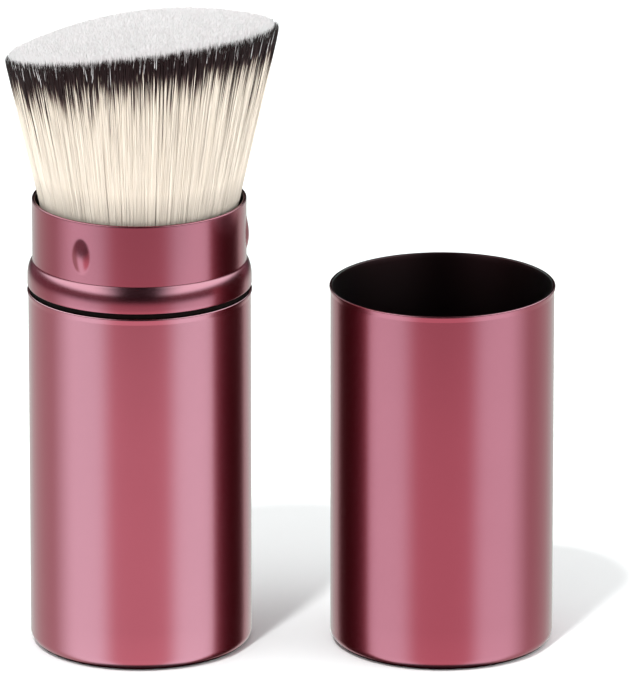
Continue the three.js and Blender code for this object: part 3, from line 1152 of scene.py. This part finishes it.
def hang_backdrop(studio):
    """A white drum round the floor, closed above, that only the camera sees"""
    radius = studio.floor_radius * BACKDROP_SHARE
    backdrop = add_circle("studio_backdrop", radius, (0, 0, 0), STAGE_SIDES, "NOTHING")
    select_whole(backdrop)
    bpy.ops.mesh.extrude_region_move(TRANSFORM_OT_translate={"value": (0, 0, studio.floor_radius)})
    bpy.ops.mesh.edge_face_add()
    bpy.ops.object.mode_set(mode="OBJECT")
    nodes = material_nodes("white_backdrop")
    nodes.set_shader(Base_Color=(0, 0, 0, 1), Emission_Color=(1, 1, 1, 1), Emission_Strength=1)
    backdrop.data.materials.append(nodes.owner)
    backdrop.visible_glossy = False
    return keep_out_of_light(backdrop)


def dim_far_table(studio):
    """A tinted sheet on the floor, through which metal mirrors the table darker towards the camera"""
    bpy.ops.object.select_all(action="DESELECT")
    bpy.ops.mesh.primitive_plane_add(size=studio.floor_radius, location=(0, 0, TINT_LEVEL))
    sheet = bpy.context.object
    sheet.name = "studio_table_tint"
    nodes = material_nodes("table_tint")
    distance = nodes.calculate("MULTIPLY", nodes.along("Y"), -1 / studio.table_depth)
    level = nodes.ramp(distance, greys((0.36, 1), (0.44, 0.83), (0.5, 0.79), (0.58, 0.68), (1, 0.6)))
    clear = nodes.add("ShaderNodeBsdfTransparent")
    nodes.link(level, clear.inputs["Color"])
    nodes.to_surface(clear.outputs["BSDF"])
    sheet.data.materials.append(nodes.owner)
    return only_mirrored(sheet)


def stand_reflection_screen(name, radius, centre, studio):
    """A glowing screen round a shell, mostly dark red and painted with that shell's reflection, which its
    neighbour mirrors as a strip and which is clear from inside
    """
    height = studio.screen_height
    reflection_screen = add_circle(name, radius, (*centre, -height), STAGE_SIDES, "NOTHING")
    select_whole(reflection_screen)
    bpy.ops.mesh.extrude_region_move(TRANSFORM_OT_translate={"value": (0, 0, 2 * height)})
    bpy.ops.mesh.select_all(action="SELECT")
    bpy.ops.mesh.normals_make_consistent(inside=False)
    bpy.ops.object.mode_set(mode="OBJECT")
    nodes = material_nodes(f"{name}_cloth")
    backwards = nodes.calculate("MULTIPLY_ADD", nodes.along("Y"), 0.5 / radius, 0.5)
    # painted reflection of the surrounded shell: a pale pink highlight at its front, dark red at its sides
    # and a little lighter at its back
    dark = (0.07, 0.012, 0.015)
    stops = (
        (0, (0.9, 0.55, 0.6)),
        (0.12, (0.33, 0.12, 0.15)),
        (0.25, (0.13, 0.03, 0.04)),
        (0.38, dark),
        (0.55, dark),
        (0.7, (0.2, 0.1, 0.11)),
    )
    glow = nodes.add("ShaderNodeEmission")
    nodes.link(nodes.ramp(backwards, stops), glow.inputs["Color"])
    one_sided = nodes.add("ShaderNodeMixShader")
    nodes.link(nodes.add("ShaderNodeNewGeometry").outputs["Backfacing"], one_sided.inputs["Fac"])
    nodes.link(glow.outputs["Emission"], one_sided.inputs[1])
    nodes.link(nodes.add("ShaderNodeBsdfTransparent").outputs["BSDF"], one_sided.inputs[2])
    nodes.to_surface(one_sided.outputs["Shader"])
    reflection_screen.data.materials.append(nodes.owner)
    return only_mirrored(reflection_screen)


def darken_underneath(name, radius, centre):
    """A dark spot of painted shade on the floor under a shell, which the shell's rounded lower edge mirrors
    """
    spot = add_circle(name, radius, (*centre, SPOT_LEVEL), STAGE_SIDES, "NGON")
    nodes = material_nodes(f"{name}_shade")
    nodes.set_shader(Base_Color=(0.05, 0.02, 0.025, 1), Specular_IOR_Level=0)
    spot.data.materials.append(nodes.owner)
    return only_mirrored(spot)


def place_camera(scene, studio):
    """The camera, where the photograph's fitted one stands"""
    bpy.ops.object.select_all(action="DESELECT")
    rotation = (math.pi / 2 - studio.camera_pitch, 0, 0)
    bpy.ops.object.camera_add(location=studio.camera_place, rotation=rotation)
    camera = bpy.context.object
    camera.name = "photo_camera"
    camera.data.lens = studio.lens
    camera.data.sensor_width = 36
    camera.data.clip_end = 50
    scene.camera = camera
    return camera


class SCENE_OT_brush_studio(bpy.types.Operator):
    """Lay the floor, set the lights and place the camera"""

    bl_idname = "scene.brush_studio"
    bl_label = "Studio"

    def execute(self, context):
        settings = context.scene.makeup_brush
        studio, shells = settings.studio, settings.shells
        lay_floor(studio)
        hang_backdrop(studio)
        context.scene.world = mirrored_studio(studio)
        dim_far_table(studio)
        # round each shell a screen glowing with its painted reflection, and under it a spot of painted
        # shade
        for name, radius, place in (
            ("base", shells.base_radius, BASE_PLACE),
            ("cap", shells.cap_radius, CAP_PLACE),
        ):
            stand_reflection_screen(f"studio_{name}_flag", radius + SCREEN_GAP, place, studio)
            darken_underneath(f"studio_{name}_spot", radius - SPOT_MARGIN, place)
        add_sun("key_light", -24, 60, studio.key_spread, studio.key_strength)
        add_sun("left_light", -65, 11, 60, studio.left_strength)
        add_sun("right_light", 75, 9, 60, studio.right_strength)
        add_sun("dome_light", 0, 90, 170, studio.dome_strength)
        place_camera(context.scene, studio)
        context.scene.view_settings.view_transform = "Standard"
        return {"FINISHED"}


class VIEW3D_PT_makeup_brush(bpy.types.Panel):
    """Lists the steps that build the brush"""

    bl_idname = "VIEW3D_PT_makeup_brush"
    bl_label = "Makeup Brush"
    bl_space_type = "VIEW_3D"
    bl_region_type = "UI"
    bl_category = "Brush"

    def draw(self, context):
        for step in STEPS:
            self.layout.operator(step.bl_idname)


STEPS = (
    MESH_OT_brush_base,
    MESH_OT_brush_sleeve,
    MESH_OT_brush_cap,
    MESH_OT_brush_inside,
    MESH_OT_brush_tuft,
    SCENE_OT_brush_studio,
)
CLASSES = (
    ShellSizes,
    SleeveSizes,
    TuftSizes,
    FinishColours,
    StudioSettings,
    BrushSettings,
    *STEPS,
    VIEW3D_PT_makeup_brush,
)


def register():
    for made in CLASSES:
        bpy.utils.register_class(made)
    bpy.types.Scene.makeup_brush = bpy.props.PointerProperty(type=BrushSettings)


def unregister():
    del bpy.types.Scene.makeup_brush
    for made in reversed(CLASSES):
        bpy.utils.unregister_class(made)


def main():
    register()
    bpy.ops.mesh.brush_base()
    bpy.ops.mesh.brush_sleeve()
    bpy.ops.mesh.brush_cap()
    bpy.ops.mesh.brush_inside()
    bpy.ops.mesh.brush_tuft()
    bpy.ops.scene.brush_studio()


if __name__ == "__main__":
    main()
